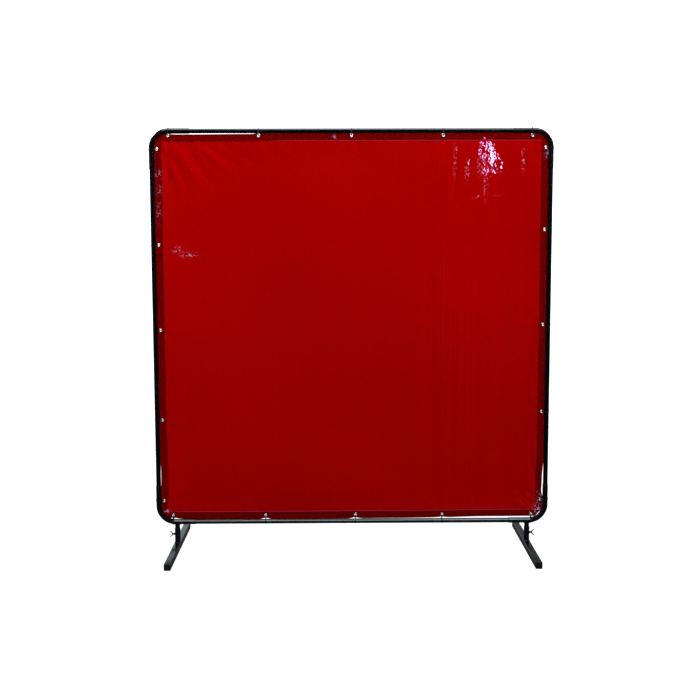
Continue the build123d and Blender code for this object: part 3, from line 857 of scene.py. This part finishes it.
def make_film():
    """The curtain: one closed skin round the sheet and the hem folded behind it."""
    columns = grid_lines(film_low.x, film_high.x)
    rows = grid_lines(film_low.z, film_high.z)
    x, z = np.meshgrid(columns, rows)
    across = np.minimum(x - film_low.x, film_high.x - x)
    up = np.minimum(z - film_low.z, film_high.z - z)
    weld = weld_share(x, z, across, up)

    x, z = round_top_corners(x, z)
    centres = eyelet_centres()
    sag_x, sag_z = edge_sag(x, z, centres)
    height, crease, crinkle_and_glint, glitter = sheet_height(x, z, np.minimum(across, up), centres)
    # Painted shade and highlight: a sloping film is painted darker one way and lighter the other,
    # as if lit from one side
    slope_z, slope_x = np.gradient(height, rows, columns)
    tilt = np.clip(TILT_SHADE * (slope_x + slope_z), -MOST_TILT_SHADE, MOST_TILT_SHADE)
    x, z = x + sag_x, z + sag_z
    cells = open_holes(x, z, height, rows, columns, centres)

    # The film stays in front of the frame's tubes
    tube_front = np.sqrt(np.maximum(TUBE_ROOM**2 - frame_distance(x, z) ** 2, 0))
    room = tube_front + np.where(tube_front > 0, TUBE_GAP, 0)
    y = np.minimum(film_middle_y - height, -room)
    points = fold_corner(np.array([x, y, z]))
    normals = front_normals(points)

    hem = cells.copy()
    inner = len(HEM_LINES) - 1
    hem[inner:-inner, inner:-inner] = False
    count = x.size
    index = np.arange(count).reshape(x.shape)
    vertices = []
    for name, offset in SKINS.items():
        ridge = WELD_HEIGHT * weld if name == "front" else 0.0
        vertices.append((points + normals * (offset + ridge)).reshape(3, -1).T)
    start = {name: order * count for order, name in enumerate(SKINS)}

    sheet_edges, sheet_outer = border(index, cells)
    hem_edges, hem_outer = border(index, hem)
    smooth_faces = [
        skin_faces(index, cells, start["front"], False),
        skin_faces(index, cells, start["front_back"], True),
        skin_faces(index, hem, start["hem"], False),
        skin_faces(index, hem, start["hem_back"], True),
    ]
    sharp_faces = [
        strip(sheet_edges[sheet_outer], start["front"], start["hem_back"]),
        strip(sheet_edges[~sheet_outer], start["front"], start["front_back"]),
        strip(hem_edges[hem_outer], start["hem"], start["front_back"]),
        strip(hem_edges[~hem_outer], start["hem"], start["hem_back"]),
    ]
    faces = np.concatenate(smooth_faces + sharp_faces)
    smooth_count = sum(len(part) for part in smooth_faces)
    used, packed = np.unique(faces, return_inverse=True)
    faces = packed.reshape(faces.shape)

    mesh = bpy.data.meshes.new("curtain_film")
    mesh.from_pydata(np.concatenate(vertices)[used].tolist(), [], faces.tolist())
    mesh.polygons.foreach_set("use_smooth", np.arange(len(faces)) < smooth_count)
    grids = {
        "weld": weld, "crease": crease, "crinkle_and_glint": crinkle_and_glint, "tilt": tilt, "glitter": glitter
    }
    shades = {name: np.tile(values.ravel(), len(SKINS)) for name, values in grids.items()}
    shades["lining"] = np.repeat([name.startswith("hem") for name in SKINS], count)
    for name, values in shades.items():
        layer = mesh.attributes.new(name, "FLOAT", "POINT")
        layer.data.foreach_set("value", values[used].astype(np.float32))
    mesh.validate()
    mesh.set_sharp_from_angle(angle=SHARP_RIM)
    film = bpy.data.objects.new("curtain_film", mesh)
    bpy.context.scene.collection.objects.link(film)
    return film


film = make_film()
film.data.materials.append(film_material())
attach(film, "frame")
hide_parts("curtain_sheet")


# ------------------------------------------------------------------ floor, world


def backdrop_level(tree, rise):
    """Brightness the camera sees along a ray, brighter the higher it points."""
    low, high = [
        math_node(tree, "ADD", math_node(tree, "MULTIPLY", rise, slope), level)
        for level, slope in BACKDROP_LINES
    ]
    level = math_node(tree, "MAXIMUM", math_node(tree, "MINIMUM", low, high), BACKDROP_LOWEST)
    return math_node(tree, "MINIMUM", level, BACKDROP_HIGHEST)


FLOOR_SIZE = 40.0
FLOOR_GLOW = 0.90
FLOOR_GREY = (0.35, 0.35, 0.355)
BOUNCE_GREY = (0.5, 0.5, 0.5)
# What mirrors see: stretches of Y, or of a ray's direction, and the brightness at their ends
FLOOR_IN_FRONT = (-0.42, -0.25, 0.006, 0.06)
STUDIO_IN_FRONT = (-0.93, -0.72, 0.003, 0.10)
STUDIO_BEHIND = (0.92, 0.965, 0.0, 0.75)
SHARE_TO_THE_RIGHT = (-0.05, 0.13, 1.0, 0.22)
STUDIO_TINT = (0.80, 0.98, 1.0)
STUDIO_LIGHT = 0.5


def make_floor():
    """A pale studio floor that melts into the backdrop."""
    size = FLOOR_SIZE
    mesh = bpy.data.meshes.new("floor")
    corners = [(-size, -size, 0), (size, -size, 0), (size, size, 0), (-size, size, 0)]
    mesh.from_pydata(corners, [], [(0, 1, 2, 3)])
    floor = bpy.data.objects.new("floor", mesh)
    bpy.context.scene.collection.objects.link(floor)
    material, tree, place = new_tree("floor")
    path = add_node(tree, "ShaderNodeLightPath")
    facing = add_node(tree, "ShaderNodeNewGeometry").outputs["Incoming"]
    rise = add_node(tree, "ShaderNodeSeparateXYZ", {0: facing}).outputs["Z"]
    level = backdrop_level(tree, math_node(tree, "MULTIPLY", rise, -1.0))
    glow = add_node(
        tree,
        "ShaderNodeEmission",
        {"Color": (1, 1, 1, 1), "Strength": math_node(tree, "MULTIPLY", level, FLOOR_GLOW)},
    ).outputs[0]
    matt = shader_node(tree, "Diffuse", FLOOR_GREY)
    seen = add_node(tree, "ShaderNodeAddShader", {0: glow, 1: matt}).outputs[0]
    # Mirrors see the floor bright beside the feet and dark in front of the screen
    place_y = add_node(tree, "ShaderNodeSeparateXYZ", {0: place}).outputs["Y"]
    glow_beside = map_range(tree, place_y, *FLOOR_IN_FRONT, smooth=True)
    mirrored = add_node(
        tree, "ShaderNodeEmission", {"Color": (1, 0.97, 0.95, 1), "Strength": glow_beside}
    ).outputs[0]
    bounced = shader_node(tree, "Diffuse", BOUNCE_GREY)
    unseen = mix_shader(tree, path.outputs["Is Glossy Ray"], bounced, mirrored)
    set_surface(tree, mix_shader(tree, path.outputs["Is Camera Ray"], unseen, seen))
    floor.data.materials.append(material)


def make_world():
    """A white backdrop to the camera, a dim studio to mirrors, even light to the rest."""
    world = bpy.data.worlds.new("studio")
    bpy.context.scene.world = world
    world.use_nodes = True
    tree = world.node_tree
    tree.nodes.clear()
    ray = add_node(tree, "ShaderNodeTexCoord").outputs["Generated"]
    parts = add_node(tree, "ShaderNodeSeparateXYZ", {0: ray}).outputs
    path = add_node(tree, "ShaderNodeLightPath").outputs
    seen = backdrop_level(tree, parts["Z"])
    # Behind the camera the studio is dark; behind the screen it is bright
    dark_front = map_range(tree, parts["Y"], *STUDIO_IN_FRONT, smooth=True)
    bright_back = map_range(tree, parts["Y"], *STUDIO_BEHIND, smooth=True)
    right_share = map_range(tree, parts["X"], *SHARE_TO_THE_RIGHT, smooth=True)
    bright_back = math_node(tree, "MULTIPLY", bright_back, right_share)
    mirrored = math_node(tree, "ADD", dark_front, bright_back)
    lit = add_node(
        tree,
        "ShaderNodeMix",
        {0: path["Is Glossy Ray"], 2: STUDIO_LIGHT, 3: mirrored},
        data_type="FLOAT",
    ).outputs[0]
    strength = add_node(
        tree, "ShaderNodeMix", {0: path["Is Camera Ray"], 2: lit, 3: seen}, data_type="FLOAT"
    ).outputs[0]
    colour = add_node(
        tree,
        "ShaderNodeMix",
        {"Factor": path["Is Glossy Ray"], "A": (1, 1, 1, 1), "B": (*STUDIO_TINT, 1)},
        data_type="RGBA",
    ).outputs["Result"]
    background = add_node(
        tree, "ShaderNodeBackground", {"Color": colour, "Strength": strength}
    ).outputs[0]
    add_node(tree, "ShaderNodeOutputWorld", {"Surface": background})


def area_light(name, place, target, width, height, radiance, colour=(1, 1, 1), only=None):
    """A rectangular softbox of a given brightness that the camera doesn't see."""
    data = bpy.data.lights.new(name, "AREA")
    data.shape = "RECTANGLE"
    data.size, data.size_y = width, height
    data.energy = radiance * math.pi * width * height
    data.color = colour
    light = bpy.data.objects.new(name, data)
    light.location = place
    light.rotation_mode = "QUATERNION"
    light.rotation_quaternion = (Vector(target) - Vector(place)).to_track_quat("-Z", "Y")
    light.visible_camera = False
    bpy.context.scene.collection.objects.link(light)
    if only:
        receivers = bpy.data.collections.new(f"{name}_receivers")
        for node_name in only:
            receivers.objects.link(frame["nodes"][node_name])
        light.light_linking.receiver_collection = receivers


make_floor()
make_world()
area_light("key", (1.282, -5.3, 2.06), (0.62, 0, 1.79), 0.03, 0.17, 85, (0.68, 0.48, 1.0))
area_light("overhead", (0, -0.6, 3.6), (0, 0, 1.0), 3.2, 1.2, 7, (0.88, 0.98, 1.0))
area_light("left_strip", (-3.4, -2.6, 1.3), (-0.9, 0, 1.1), 0.5, 2.4, 0.25, (0.8, 0.9, 1.0))
area_light("right_strip", (3.4, -2.6, 1.3), (0.9, 0, 1.1), 0.5, 2.4, 0.25, (0.8, 0.9, 1.0))
area_light("left_rim", (-2.5, 2.0, 3.2), (-0.88, 0, 1.88), 0.45, 0.45, 90, (0.85, 0.92, 1.0))
area_light("right_rim", (2.6, 2.0, 3.0), (0.88, 0, 1.88), 0.3, 0.3, 40, (0.85, 0.95, 1.0))
# The bottom rail and the straight ends of its elbows mirror a bright panel
for receiver, middle, width in (
    ("rail_bottom", 0, 2.2),
    ("elbow_bottom_left", -1.065, 0.38),
    ("elbow_bottom_right", 1.11, 0.38),
):
    area_light(
        f"{receiver}_panel",
        (middle, -0.94, 1.9),
        (middle, 0, 0.13),
        width,
        2.8,
        9.0,
        (0.84, 0.98, 1.0),
        only=(receiver,),
    )


# ------------------------------------------------------------------------ camera

sin_pitch, cos_pitch = math.sin(CAMERA_PITCH), math.cos(CAMERA_PITCH)
ahead = Vector(
    (-math.sin(CAMERA_YAW) * cos_pitch, math.cos(CAMERA_YAW) * cos_pitch, -sin_pitch)
)
level_right = Vector((math.cos(CAMERA_YAW), math.sin(CAMERA_YAW), 0))
level_up = level_right.cross(ahead)
sin_roll, cos_roll = math.sin(CAMERA_ROLL), math.cos(CAMERA_ROLL)
right = cos_roll * level_right + sin_roll * level_up
up = cos_roll * level_up - sin_roll * level_right

camera_data = bpy.data.cameras.new("camera")
camera_data.lens = CAMERA_LENS
camera_data.sensor_width = CAMERA_SENSOR
camera = bpy.data.objects.new("camera", camera_data)
camera.matrix_world = Matrix.Translation(CAMERA_PLACE) @ Matrix(
    (right, up, -ahead)
).transposed().to_4x4()
bpy.context.scene.collection.objects.link(camera)
bpy.context.scene.camera = camera
bpy.context.scene.view_settings.view_transform = "Standard"
